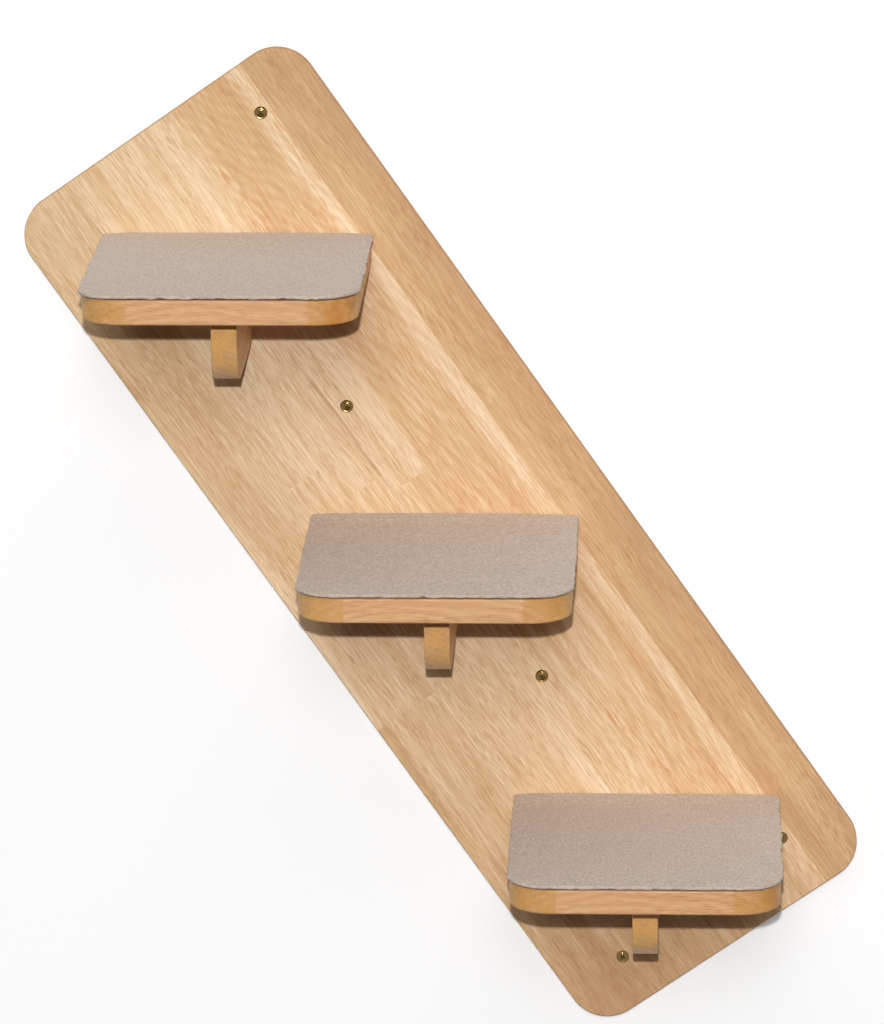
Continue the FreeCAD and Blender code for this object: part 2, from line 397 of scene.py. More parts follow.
# %% The board's staves
# from the board's lower side upwards: where a stave starts across the board, as a share, where its
# two lengths meet, as a share along the board, how dark each length is, how strong its arches are
# and how orange its pores are; past 1 along the board, there is no second length
STAVES = (
    (0.000, 0.62, 0.22, 0.50, 0.06, 0.0),
    (0.208, 0.37, 0.04, 0.32, 0.00, 0.0),
    (0.313, 0.41, 0.06, 0.16, 0.00, 0.0),
    (0.461, 0.43, 0.04, 0.34, 0.05, 0.1),
    (0.587, 1.01, 0.44, 0.44, 0.18, 0.7),
    (0.834, 1.01, 0.86, 0.86, 0.00, 0.2),
)
JOINT_BLUR = 0.008  # half of the stretch in which one length's tone becomes the other's
NUMBER_SHARE = 0.17  # a colour channel ends at 1, so a stave's number goes in as a share of it
NUMBER_JUMP = 9  # how far apart these shares then lie in the noise


def channels(recipe, colours):
    split = recipe.node("SeparateColor", {"Color": colours}).node.outputs
    return split["Red"], split["Green"], split["Blue"]


def staves(recipe, along, across):
    """The tone of the stave here, a number of its own, its arches' strength and its pores' orange."""
    share_along = recipe.plus(recipe.math("DIVIDE", along, board_length), 0.5)
    share_across = recipe.plus(recipe.math("DIVIDE", across, board_width), 0.5)
    tones = recipe.steps(share_across, [(stave[0], stave[1:4]) for stave in STAVES])
    joint, left_tone, right_tone = channels(recipe, tones)
    traits = [(stave[0], (NUMBER_SHARE * i, *stave[4:])) for i, stave in enumerate(STAVES)]
    number, arched, orange = channels(recipe, recipe.steps(share_across, traits))
    past_joint = recipe.minus(share_along, joint)
    change = recipe.minus(right_tone, left_tone)
    change = recipe.times(change, recipe.ramp(past_joint, -JOINT_BLUR, JOINT_BLUR))
    own_number = recipe.times(number, NUMBER_JUMP)
    own_number = recipe.plus(own_number, recipe.math("GREATER_THAN", past_joint, 0))
    return recipe.plus(left_tone, change), own_number, arched, orange


# %% [markdown]
# Two lines of the board stand out and get a rule of their own: the pale sapwood along the widest
# stave's upper edge, and one dark year ring beside the middle, below the top shelf. Painted shade
# makes the board a little darker and cooler towards its upper end, where it gets the most light,
# and darker at the foot of its lower staves, below the bottom shelf.

# %% Helpers: the board's two lines and the painted shade at its ends
SAPWOOD = (0.086, 0.102, 0.111)  # across the board, where it starts, is palest and ends
DARK_RING = -0.0075  # across the board
RING_WOBBLE = 0.012


def sapwood(recipe, across):
    paler = recipe.ramp(across, SAPWOOD[0], SAPWOOD[1], 0, 0.3)
    return recipe.times(paler, recipe.math("LESS_THAN", across, SAPWOOD[2]))


def dark_ring(recipe, along, across):
    wobble = recipe.noise(recipe.moved(recipe.position, scale=(7, 7, 7)), detail=2)
    off_ring = recipe.minus(recipe.plus(across, recipe.times(wobble, RING_WOBBLE)), DARK_RING)
    line = recipe.ramp(recipe.math("ABSOLUTE", off_ring), 0.0030, 0.0004)
    return recipe.times(line, recipe.ramp(along, 0.0, -0.10), recipe.ramp(along, -0.26, -0.20))


# painted shade: darker towards the upper end, and at the foot of the lower staves below the bottom
# shelf
def painted_end_shade(recipe, along, across):
    upper = recipe.ramp(along, -0.28, -0.46, 0, 0.16)
    lower = recipe.times(recipe.ramp(along, 0.38, 0.47, 0, 0.55), recipe.ramp(across, 0.05, -0.05))
    return recipe.plus(upper, lower)


# %% Recipe: the board
ARCH_CENTRE = 0.12  # along the board


def board_wood():
    """The staves' tones and all the finer scales, then pores, sawn rims and the dark ring on top."""
    recipe = Recipe("board_wood")
    fibre = recipe.moved(recipe.position, rotation=(0, -lean, 0))
    place = recipe.axes(fibre)
    along, across = place["X"], place["Z"]
    tone, own_number, arched, orange = staves(recipe, along, across)
    broad, fine, pores = grain(recipe, recipe.shifted(fibre, own_number), wander=0.012)
    past_centre = recipe.minus(along, ARCH_CENTRE)
    rings = arches(recipe, past_centre, across, pitch=0.011, reach_out=0.55)
    tone = recipe.plus(
        tone,
        recipe.ramp(broad, 0.30, 0.70, -0.30, 0.30),
        recipe.ramp(fine, 0.33, 0.67, -0.40, 0.40),
        recipe.times(recipe.minus(rings, 0.5), arched),
        # painted shade at both ends of the board
        painted_end_shade(recipe, along, across),
    )
    tone = recipe.minus(tone, sapwood(recipe, across))
    wood = recipe.blend(recipe.ramp(tone, 0.0, 0.5), PALE, HONEY)
    wood = recipe.blend(recipe.ramp(tone, 0.5, 1.15), wood, TAN)
    wood = recipe.blend(recipe.ramp(tone, -0.05, -0.40, 0, 0.9), wood, CREAM)
    # painted shade: a cooler tint towards the upper end
    wood = recipe.blend(recipe.ramp(along, -0.22, -0.40), wood, UPPER_END_SHADE_TINT, "MULTIPLY")
    vessel = recipe.blend(orange, VESSEL, ORANGE_VESSEL)
    weight = recipe.plus(recipe.times(orange, 0.22), 0.34)
    wood = recipe.blend(recipe.times(pores, weight), wood, vessel)
    rim = recipe.ramp(recipe.math("ABSOLUTE", recipe.facing("Y")), 0.98, 0.5, 0, 0.6)
    wood = recipe.blend(rim, wood, RIM_BROWN)
    wood = recipe.blend(recipe.times(dark_ring(recipe, along, across), 0.40), wood, VESSEL)
    return recipe.surface(
        Base_Color=wood,
        Roughness=recipe.ramp(fine, 0.3, 0.7, 0.46, 0.58),
        Specular_IOR_Level=0.10,
        bump=recipe.minus(fine, pores),
        bump_strength=0.25,
        bump_distance=0.00015,
    )


# %% [markdown]
# ## The shelves' and brackets' wood
#
# The same wood again, but here the cut changes as the surface turns. Along the fibres it is pinkish
# and calm, with the arches of year rings. Where a rounded corner or a nose cuts across the fibres,
# it shows its end grain, which soaks up more lacquer and turns amber. How much of the surface looks
# along the fibres is its normal's share in that direction.
#
# Each shelf's front is made of three lengths. The joints lie a little inside the rounded corners,
# and the outer lengths are more ochre, some with a deep amber glow towards the shelf's side.

# %% The shelves' colours
JOINT_INSET = 0.045  # from a shelf's side to the joint between its lengths
NO_JOINT = 1.0  # a joint too far out to lie on the piece
SHELF_LIGHT = colour(226, 180, 136)
SHELF_DARK = colour(203, 150, 105)
SHELF_OCHRE = colour(202, 152, 84)
AMBER = colour(236, 182, 104)
DEEP_AMBER = colour(186, 104, 36)
GLOW_AT = (0.078, 0.112)  # from a shelf's middle, where the glow starts and is full
END_GLOW = {"top": (0.10, 0.60), "middle": (0.0, 0.10), "bottom": (0.10, 0.35)}  # left, right


# %% Helper: the outer lengths' glow
def end_glow(recipe, x, cloud, glow):
    """How deep the amber is, by the glow of the left and of the right side."""
    left, right = glow
    at_left = recipe.math("LESS_THAN", x, 0)
    strength = recipe.plus(recipe.times(at_left, left - right), right)
    outwards = recipe.ramp(recipe.math("ABSOLUTE", x), *GLOW_AT)
    return recipe.times(strength, outwards, recipe.ramp(cloud, 0.30, 0.60, 0.3, 1.0))


# %% Recipe: shelves and brackets
def turned_wood(name, centre, fibre_axis, seed, joint=NO_JOINT, glow=(0.0, 0.0)):
    """Wood round the centre point, with its fibres along X or Y.

    Past the joint, to both sides, lie other lengths of wood.
    """
    along_y = fibre_axis == "Y"
    recipe = Recipe(name)
    local = recipe.moved(recipe.position, location=tuple(-value for value in centre))
    place = recipe.axes(local)
    ends = recipe.math("GREATER_THAN", recipe.math("ABSOLUTE", place["X"]), joint)
    side = recipe.times(recipe.math("SIGN", place["X"]), ends)
    fibre = recipe.moved(local, rotation=(0, 0, math.radians(90) if along_y else 0.0))
    fibre = recipe.shifted(fibre, recipe.plus(recipe.times(side, 3.7), seed))
    broad, fine, pores = grain(recipe, fibre, wander=0.012)
    slanted = recipe.plus(place["Z"], recipe.times(place["X" if along_y else "Y"], 0.5))
    rings = arches(recipe, place[fibre_axis], slanted, pitch=0.0085, reach_out=1.6)
    tone = recipe.plus(
        recipe.ramp(broad, 0.3, 0.7, 0.3, 0.6),
        recipe.ramp(rings, 0, 1, -0.20, 0.20),
        recipe.ramp(fine, 0.3, 0.7, -0.20, 0.20),
    )
    wood = recipe.blend(recipe.ramp(tone, 0.0, 1.0), SHELF_LIGHT, SHELF_DARK)
    cloud = recipe.noise(recipe.moved(fibre, scale=(38, 60, 60)), detail=2)
    ochre = recipe.times(ends, recipe.ramp(cloud, 0.35, 0.65, 0.35, 0.9))
    wood = recipe.blend(ochre, wood, SHELF_OCHRE)
    end_grain = recipe.ramp(recipe.math("ABSOLUTE", recipe.facing(fibre_axis)), 0.25, 0.95)
    patch = recipe.noise(recipe.moved(fibre, scale=(70, 70, 70)), detail=2)
    amber = recipe.times(end_grain, recipe.ramp(patch, 0.35, 0.65, 0.3, 0.95))
    wood = recipe.blend(amber, wood, AMBER)
    wood = recipe.blend(end_glow(recipe, place["X"], cloud, glow), wood, DEEP_AMBER)
    wood = recipe.blend(recipe.times(pores, 0.40), wood, VESSEL)
    return recipe.surface(
        Base_Color=wood,
        Roughness=recipe.ramp(fine, 0.3, 0.7, 0.40, 0.50),
        Specular_IOR_Level=0.15,
        Coat_Weight=0.06,
        Coat_Roughness=0.2,
        bump=recipe.minus(fine, pores),
        bump_strength=0.2,
        bump_distance=0.00012,
    )


# %% [markdown]
# ## Metals, fabric and tape
#
# The wall screws are yellow passivated and polished, and the screws hidden in the wood are plain
# zinc. Both are metals, so their colour is that of their reflections. The wall screws' colour is
# painted far darker than such metal, as a painted dark reflection of a dim room around them.
#
# The mats are a brushed taupe weave. At arm's length the threads show only as a fine mottling, with
# short thick places in the thread. Two sets of ribs, one along each thread, give the weave, and
# noise on several scales gives thread, slub, nap and hand. A little sheen stands for the brushed
# fibres. The underside and the lowest part of the rim are painted brown: the felt of the core, and
# painted shade for the dark gap under the mat's edge.


# %% Recipes: metals
def metal(name, base, low, high):
    recipe = Recipe(name)
    marks = recipe.noise(recipe.position, scale=900, detail=2)
    return recipe.surface(
        Base_Color=base,
        Metallic=1.0,
        Roughness=recipe.ramp(marks, 0.3, 0.7, low, high),
        bump=marks,
        bump_strength=0.1,
        bump_distance=0.00004,
    )


# %% Recipe: the mats' fabric
RIB_PITCH = 0.00408407
WAVE_PHASE = 20  # a wave texture's phase, in radians, for each unit of its scale times the way
TAUPE = colour(194, 176, 161)
TAUPE_LIGHT = colour(226, 210, 196)
TAUPE_DARK = colour(160, 140, 124)
# the felt core's brown, which also serves as painted shade in the gap under the mat's edge
FELT_AND_GAP_SHADE_BROWN = colour(110, 84, 66)


def ribs(recipe, direction):
    """Soft ribs that follow one another along X or Y."""
    scale = 2 * math.pi / RIB_PITCH / WAVE_PHASE
    sockets = {"Vector": recipe.position, "Scale": scale, "Distortion": 1.2}
    sockets |= {"Detail": 1.0, "Detail Scale": 2.0}
    return recipe.node("TexWave", sockets, "Fac", bands_direction=direction)


def mat_fabric():
    recipe = Recipe("mat_fabric")
    weave = recipe.times(ribs(recipe, "X"), ribs(recipe, "Y"))
    stretched = {
        kind: recipe.noise(recipe.moved(recipe.position, scale=scale), detail=2, roughness=roughness)
        for kind, scale, roughness in (
            ("weft", (330, 900, 900), 0.7),
            ("warp", (900, 330, 900), 0.7),
            ("slub", (420, 210, 420), 0.65),
        )
    }
    hand = recipe.noise(recipe.position, scale=26, detail=3)
    nap = recipe.noise(recipe.position, scale=1500, detail=1)
    threads = recipe.times(recipe.plus(stretched["weft"], stretched["warp"]), 0.5)
    mottle = recipe.plus(recipe.times(stretched["slub"], 0.6), recipe.times(threads, 0.4))
    cloth = recipe.blend(recipe.ramp(mottle, 0.36, 0.64), TAUPE_DARK, TAUPE_LIGHT)
    cloth = recipe.blend(0.45, cloth, TAUPE)
    cloth = recipe.blend(recipe.ramp(hand, 0.3, 0.7, 0.0, 0.12), cloth, TAUPE_DARK)
    # painted shade: the lowest rim and the underside turn brown, as felt and as the dark gap under the
    # mat
    underside = recipe.ramp(recipe.facing("Z"), -0.2, -0.6, 0.0, 0.85)
    cloth = recipe.blend(underside, cloth, FELT_AND_GAP_SHADE_BROWN)
    height = recipe.plus(recipe.times(weave, 0.6), recipe.times(nap, 0.4), recipe.times(threads, 0.8))
    return recipe.surface(
        Base_Color=cloth,
        Roughness=0.9,
        Specular_IOR_Level=0.1,
        Sheen_Weight=0.15,
        Sheen_Roughness=0.5,
        bump=height,
        bump_strength=0.20,
        bump_distance=0.0003,
    )


# %% Recipes: tape and dowel
def tape_nylon(name, base):
    recipe = Recipe(name)
    tufts = recipe.noise(recipe.position, scale=1400, detail=2)
    shaded = tuple(0.6 * channel for channel in base[:3]) + (1,)
    shade = recipe.blend(recipe.ramp(tufts, 0.35, 0.65), shaded, base)
    return recipe.surface(Base_Color=shade, Roughness=0.7, bump=tufts, bump_distance=0.0003)


def dowel_beech():
    recipe = Recipe("dowel_wood")
    fibre = recipe.moved(recipe.position, rotation=(0, 0, math.radians(90)))
    broad, fine, pores = grain(recipe, fibre)
    wood = recipe.blend(recipe.ramp(broad, 0.3, 0.7), colour(222, 182, 142), colour(198, 154, 112))
    wood = recipe.blend(recipe.times(pores, 0.4), wood, VESSEL)
    return recipe.surface(Base_Color=wood, Roughness=0.6, bump=fine)


# painted reflection: the wall screws' yellow base is painted dark, for the dim room they would mirror
BRASS_PAINTED_DARK = metal("yellow_screw", colour(118, 96, 56), 0.16, 0.28)
ZINC = metal("steel_screw", colour(190, 192, 194), 0.26, 0.42)
FABRIC = mat_fabric()
HOOK_NYLON = tape_nylon("hook_nylon", colour(118, 104, 92))
LOOP_NYLON = tape_nylon("loop_nylon", colour(140, 125, 112))
BEECH = dowel_beech()

# %% [markdown]
# ## Screws
#
# A countersunk screw has a disc with a cone under it, a cross recess, a shank and a thread. Its face
# isn't quite flat: a low boss stands round the recess, and a shallow groove lies between the boss
# and the rim. The head and the shank are turned in one outline. The recess is cut by a tapered
# cross: a cube flattened to a wing, narrowed at its lower end and doubled at a right angle.
#
# The thread can't be turned, because it climbs. It is the outline of a single pitch, spun round many
# times while each step also lifts it a little, so that the end of one turn is the start of the next
# and the welded result is one continuous skin. Its point is made by drawing the last turns in
# towards the axis.

# %% Screw sizes
# head, boss, core and thread are radii, rise is the boss's height and span the recess's width
HEAD_SINK = 0.0003  # how deep the face lies below the wood
HEAD_RIM = 0.0005  # how thick the head is at its rim
HEAD_EDGE = 0.0002
FACE_GROOVE = 0.0003
FACE_RIM = 0.0012
HEAD_PLAY = 0.0001
RECESS_DEPTH = 0.45  # this and the next two as shares of the recess's width
WING_WIDTH = 0.2
WING_TAPER = 0.42
CORE_SHARE = 0.98  # the thread's core is a little thinner than the shank that runs into it
TIP_SHARE = 1.2  # a point's length, in thread diameters
TIP_BLUNT = 0.06  # what is left of the radius at the point
CUTTER_OVER = 0.002  # how far a cutter stands out of the face that it cuts
WALL_SCREW = {
    "head": 0.0063,
    "boss": 0.0036,
    "rise": 0.0005,
    "span": 0.0064,
    "core": 0.0021,
    "thread": 0.0030,
    "pitch": 0.0028,
    "length": 0.060,
    "threaded_from": board_thickness - HEAD_SINK,
}
WOOD_SCREW = {
    "head": 0.0044,
    "boss": 0.0025,
    "rise": 0.0002,
    "span": 0.0048,
    "core": 0.0015,
    "thread": 0.00225,
    "pitch": 0.0022,
    "length": 0.050,
    "threaded_from": 0.012,
}


# %% Helper: the cross recess
def cross_cutter(span):
    """Two crossed wings along +Z that narrow with their depth, as a driver's tip does."""
    depth = RECESS_DEPTH * span
    wing_size = Matrix.Diagonal((span, WING_WIDTH * span, depth + CUTTER_OVER, 1))
    bm = bmesh.new()
    for turn in (0, 90):
        spread = Matrix.Rotation(math.radians(turn), 4, "Z") @ wing_size
        wing = bmesh.ops.create_cube(bm, size=1, matrix=spread)["verts"]
        bmesh.ops.translate(bm, verts=wing, vec=(0, 0, (depth - CUTTER_OVER) / 2))
        floor = [vertex for vertex in wing if vertex.co.z > depth / 2]
        bmesh.ops.scale(bm, verts=floor, vec=(WING_TAPER, WING_TAPER, 1))
    return bm


# %% Helper: the climbing thread
def thread_form(size, steps=24):
    """A pointed thread along Z, whose last stretch tapers to the point."""
    core, crest, pitch = CORE_SHARE * size["core"], size["thread"], size["pitch"]
    start, end = size["threaded_from"], size["length"]
    tip = 2 * crest * TIP_SHARE
    turns = math.ceil((end - start) / pitch) - 1
    ridge = ((core, 0.0), (core, 0.30), (crest, 0.46), (crest, 0.54), (core, 0.70), (core, 1.0))
    bm = bmesh.new()
    points = [bm.verts.new((radius, 0, start + share * pitch)) for radius, share in ridge]
    edges = [bm.edges.new(pair) for pair in zip(points, points[1:])]
    bmesh.ops.spin(
        bm,
        geom=points + edges,
        cent=(0, 0, 0),
        axis=(0, 0, 1),
        dvec=(0, 0, pitch / steps),
        angle=2 * math.pi * turns,
        steps=steps * turns,
    )
    bmesh.ops.remove_doubles(bm, verts=bm.verts, dist=WELD)
    top = max(vertex.co.z for vertex in bm.verts)
    for vertex in bm.verts:
        vertex.co.z = start + (vertex.co.z - start) * (end - start) / (top - start)
        narrowing = min(1.0, max(TIP_BLUNT, (end - vertex.co.z) / tip))
        vertex.co.x *= narrowing
        vertex.co.y *= narrowing
    bmesh.ops.holes_fill(bm, edges=[edge for edge in bm.edges if edge.is_boundary])
    return cleaned(bm)


# %% Helper: screws
def head_and_shank(size):
    """The head with its recess and the plain shank, turned round Z."""
    head, boss, rise, core = (size[part] for part in ("head", "boss", "rise", "core"))
    shank_end = size["threaded_from"] + size["pitch"]
    outline = (
        (0, -rise),
        (0.62 * boss, -rise),
        (0.80 * boss, -0.85 * rise),
        (0.93 * boss, -0.45 * rise),
        (boss, 0),
        (1.12 * boss, FACE_GROOVE),
        (head - FACE_RIM, FACE_GROOVE),
        (head - FACE_RIM / 2, 0),
        (head - HEAD_EDGE, 0),
        (head, HEAD_EDGE),
        (head, HEAD_RIM),
        (core, HEAD_RIM + head - core),
        (core, shank_end),
        (0, shank_end),
    )
    body = to_object(turned(outline, steps=48), "body")
    carve(body, [(cross_cutter(size["span"]), Matrix.Identity(4))])
    bm = bmesh.new()
    bm.from_mesh(body.data)
    bpy.data.objects.remove(body)
    return cleaned(bm)


def screw_piece(name, size, places):
    """Screws whose heads' faces lie at the (origin, direction, turn) places, as one piece."""
    parts = (head_and_shank(size), thread_form(size))
    return as_object(joined([(part, placed(*place)) for place in places for part in parts]), name)


def drill(size, play, beyond=0.001):
    """The cutter for a screw's countersunk hole."""
    bore = size["thread"] + play
    head = size["head"] + HEAD_PLAY
    end = size["length"] + beyond
    sink = ((0, -CUTTER_OVER), (head, -CUTTER_OVER), (head, HEAD_RIM), (bore, HEAD_RIM + head - bore))
    return turned((*sink, (bore, end), (0, end)))


# %% [markdown]
# ## Where the fasteners sit
#
# The wall screws' places come from the mounts. The others follow from each shelf: two screws and
# two dowels run out of the board into its back edge, two screws run into the bracket's end, and two
# more go up through the bracket into the shelf, with their heads deep in counterbores. A place is an
# origin, a direction and a turn about it. The turns differ, because nobody lines up the recesses.

# %% Fastener places
SHELF_SCREW_SPREAD = 0.095
DOWEL_SPREAD = 0.055
DOWEL_COVER = 0.003
BRACKET_SCREW_INSET = 0.018
BRACE_SCREWS = (0.060, 0.130)  # from the board to each upright screw
BRACE_TIP_COVER = 0.004
COUNTERBORE_PLAY = 0.0006
DOWEL_PLAY = 0.00005

board_face = Vector((0, -board_thickness, 0))
wall_places = []
for number, name in enumerate(sorted(name for name in mounts if name.startswith("wall_screw"))):
    middle = Vector(mounts[name]["pos_m"])
    head = Vector((middle.x, HEAD_SINK - board_thickness, middle.z))
    wall_places.append((head, -OUT, math.radians(25 + 67 * number)))


def shelf_frame(level):
    """A shelf's middle along the wall, its top and its underside, and its bracket's underside."""
    low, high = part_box("shelf_" + level)
    return (low.x + high.x) / 2, high.z, low.z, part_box("bracket_" + level)[0].z


def back_screws(level):
    """Places of the screws into the shelf's back edge, and of those into the bracket's end."""
    x, top, underside, bracket_low = shelf_frame(level)
    middle = (top + underside) / 2
    edge = [(Vector((x + s * SHELF_SCREW_SPREAD, -HEAD_SINK, middle)), OUT, 0.4 + s) for s in (-1, 1)]
    heights = (underside - BRACKET_SCREW_INSET, bracket_low + BRACKET_SCREW_INSET)
    ends = [(Vector((x, -HEAD_SINK, z)), OUT, 9 * z) for z in heights]
    return edge, ends


def brace_screws(level):
    x, top = shelf_frame(level)[:2]
    head = top - BRACE_TIP_COVER - WOOD_SCREW["length"]
    return [(Vector((x, -board_thickness - y, head)), UP, 5 * y) for y in BRACE_SCREWS]


def dowel_cutters(level):
    x, top, underside = shelf_frame(level)[:3]
    low, high = reach("shelf_dowels_" + level, OUT)
    radius = extent("shelf_dowels_" + level, UP) / 2 + DOWEL_PLAY
    end = high - low + 0.001
    form = turned(((0, -DOWEL_PLAY), (radius, -DOWEL_PLAY), (radius, end), (0, end)))
    middle = (top + underside) / 2
    return [(form, placed(Vector((x + s * DOWEL_SPREAD, -DOWEL_COVER, middle)), OUT)) for s in (-1, 1)]


wood_drill = drill(WOOD_SCREW, play=0.0001)
back_cutters = {}
for level in LEVELS:
    edge, ends = back_screws(level)
    back_cutters[level] = [(wood_drill, placed(*place)) for place in edge + ends] + dowel_cutters(level)
print("holes at one shelf:", len(back_cutters["top"]))

# %% [markdown]
# ## The back board
#
# The board is a block with its four upright edges bevelled by the corner radius and then all its
# rims eased by 1.5 mm. An outline could be drawn and extruded instead, but the block needs no points
# of its own, and the bevel operator makes true arcs when its profile is 0.5. The board is modelled
# flat and then stood up by a matrix whose columns are its own three directions. Its holes come last,
# in one cut.

# %% The board
BOARD_CORNER = 0.040
BOARD_RIM = 0.0015


def bevel(bm, edges, radius, segments):
    """Rounds the edges by a radius, with true arcs."""
    bmesh.ops.bevel(
        bm,
        geom=edges,
        offset=radius,
        segments=segments,
        profile=0.5,
        affect="EDGES",
        material=-1,
    )


def upright(edge):
    return abs((edge.verts[0].co - edge.verts[1].co).normalized().z) > 0.99


def rims(bm):
    """The edges between the level faces above and below and the faces round the side."""
    level = {face for face in bm.faces if abs(face.normal.z) > 0.99}
    return [edge for edge in bm.edges if sum(face in level for face in edge.link_faces) == 1]


bm = bmesh.new()
board_size = Matrix.Diagonal((board_length, board_width, board_thickness, 1))
bmesh.ops.create_cube(bm, size=1, matrix=board_size)
bevel(bm, [edge for edge in bm.edges if upright(edge)], BOARD_CORNER, 24)
bevel(bm, rims(bm), BOARD_RIM, 4)
stand = Matrix((ALONG, ACROSS, OUT)).transposed().to_4x4()
bmesh.ops.transform(bm, verts=bm.verts, matrix=Matrix.Translation(board_face / 2) @ stand)
board = to_object(bm, "back_board_staves")
wall_drill = drill(WALL_SCREW, play=0.00025)
cutters = [(wall_drill, placed(*place)) for place in wall_places]
carve(board, cutters + [cutter for level in LEVELS for cutter in back_cutters[level]])
ROOT = "board_and_shelves"
finished(board, "back_board", ROOT, board_wood(), flat_faces=True)

# %% [markdown]
# ## Shelves and brackets
#
# A shelf is a block again. Only its two front corners are rounded, and its rims are eased all round
# except where they lie on the board. A bracket is a bar that stands on edge. The bevel that makes
# its nose is the same operator, on the lower front edge. Its upright screws start from counterbores
# that are hidden unless one looks up from below.

# %% The shelves
SHELF_CORNER = 0.040
SHELF_RIM = 0.002


def block(node):
    """A cube in the box of a measured piece."""
    low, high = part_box(node)
    bm = bmesh.new()
    size = Matrix.Diagonal((*(high - low), 1))
    bmesh.ops.create_cube(bm, size=1, matrix=Matrix.Translation((low + high) / 2) @ size)
    return bm, low, high


def at(edge, axis, value):
    """True if both ends of the edge lie at this value of X, Y or Z."""
    return all(abs(vertex.co[axis] - value) < 1e-5 for vertex in edge.verts)


for number, level in enumerate(LEVELS):
    bm, low, high = block("shelf_" + level)
    bevel(bm, [edge for edge in bm.edges if upright(edge) and at(edge, 1, low.y)], SHELF_CORNER, 20)
    bevel(bm, [edge for edge in rims(bm) if not at(edge, 1, high.y)], SHELF_RIM, 4)
    shelf = to_object(bm, "shelf_panel_" + level)
    up_drills = [(wood_drill, placed(*place)) for place in brace_screws(level)]
    carve(shelf, back_cutters[level] + up_drills)
    middle = (low + high) / 2
    joint = (high.x - low.x) / 2 - JOINT_INSET
    wood = turned_wood("shelf_wood_" + level, middle, "X", 1.3 * number, joint, END_GLOW[level])
    finished(shelf, "shelf_" + level, ROOT, wood, flat_faces=True)

# %% The brackets
NOSE = 0.050
BRACKET_RIM = 0.001

for number, level in enumerate(LEVELS):
    bm, low, high = block("bracket_" + level)
    bevel(bm, [edge for edge in bm.edges if at(edge, 1, low.y) and at(edge, 2, low.z)], NOSE, 24)
    sides = {face for face in bm.faces if abs(face.normal.x) > 0.99}
    outline = [edge for edge in bm.edges if sum(face in sides for face in edge.link_faces) == 1]
    bevel(bm, [e for e in outline if not at(e, 1, high.y) and not at(e, 2, high.z)], BRACKET_RIM, 3)
    bracket = to_object(bm, "bracket_bar_" + level)
    bores = []
    for head, up, _ in brace_screws(level):
        radius = WOOD_SCREW["head"] + COUNTERBORE_PLAY
        depth = head.z - low.z
        bore = turned(((0, -CUTTER_OVER), (radius, -CUTTER_OVER), (radius, depth), (0, depth)))
        bores.append((bore, placed(Vector((head.x, head.y, low.z)), up)))
        bores.append((wood_drill, placed(head, up)))
    carve(bracket, bores + back_cutters[level])
    middle = (low + high) / 2
    wood = turned_wood("bracket_wood_" + level, middle, "Y", 0.7 + 2.1 * number)
    finished(bracket, "bracket_" + level, ROOT, wood, flat_faces=True)

# %% The screws and dowels
wall_set = screw_piece("wall_screw_set", WALL_SCREW, wall_places)
finished(wall_set, "wall_screws", ROOT, BRASS_PAINTED_DARK)
for level in LEVELS:
    edge, ends = back_screws(level)
    for kind, places in (("shelf", edge), ("bracket", ends), ("brace", brace_screws(level))):
        piece = screw_piece(f"{kind}_screw_pair_{level}", WOOD_SCREW, places)
        finished(piece, f"{kind}_screws_{level}", ROOT, ZINC)
    dowels = nodes["shelf_dowels_" + level]
    dowels.data.materials.clear()
    dowels.data.materials.append(BEECH)

# %% [markdown]
# ## The mats
#
# A mat is a sheet of brushed weave on a thin felt core, 3.5 mm thick, cut a little larger than its
# shelf. It lies loose, so it could be simulated, but it is stiff and flat and a simulation would
# change nothing that shows. What shows is that it isn't machined. Its outline wanders and its rim is
# frayed, both by about a millimetre. Its front corners differ from mat to mat. Its surface has the
# slow dents of a cloth that has been folded in a box, it sinks a little past the tape, and its back
# edge rides up or down where it meets the board.
#
# It starts as a grid. The corners are drawn in to arcs by a rule that maps a square on to a quarter
# disc, so that no cell collapses. Then the sheet is extruded to its thickness, its rims are rounded,
# and noise moves the vertices.

# %% The mats' sizes
MAT_CELL = 0.0022
MAT_FRONT_CORNERS = {"top": (0.030, 0.040), "middle": (0.034, 0.038), "bottom": (0.038, 0.036)}
MAT_BACK_CORNER = 0.006
MAT_RIM = 0.0011
LOOSE_RIM = 0.010  # the width of the rim that wanders and frays
STEADY_BACK = 0.020  # the stretch before the back edge in which the rim grows steady
SAG = 0.0011  # how far the overhanging cloth sinks
SAG_BESIDE = 0.026  # how far past the tape it has sunk, at the sides
SAG_BEFORE = 0.042  # and at the front
BACK_LIFT = {"top": -0.0008, "middle": 0.0042, "bottom": 0.0036}
LIFT_START = 0.006  # from the tape towards the board
# waves of noise, each as its height and the blots in a metre
OUTLINE_WAVES = ((0.0008, 28), (0.0004, 150))
FRAY_WAVES = ((0.0016, 215), (0.0003, 420))
CURL_WAVES = ((0.0009, 200),)
DENT_WAVES = ((0.0004, 14), (0.00012, 240))


# %% Helper: a sheet cut to its outline
def corner_drawn_in(point, corner, inward, radius):
    """Maps the square at a corner on to a quarter disc of the radius."""
    local = Vector(((point.x - corner.x) * inward.x, (point.y - corner.y) * inward.y))
    across_x, across_y = radius - local.x, radius - local.y
    if across_x <= 0 or across_y <= 0:
        return
    share = max(across_x, across_y) / math.hypot(across_x, across_y)
    point.x = corner.x + (radius - across_x * share) * inward.x
    point.y = corner.y + (radius - across_y * share) * inward.y


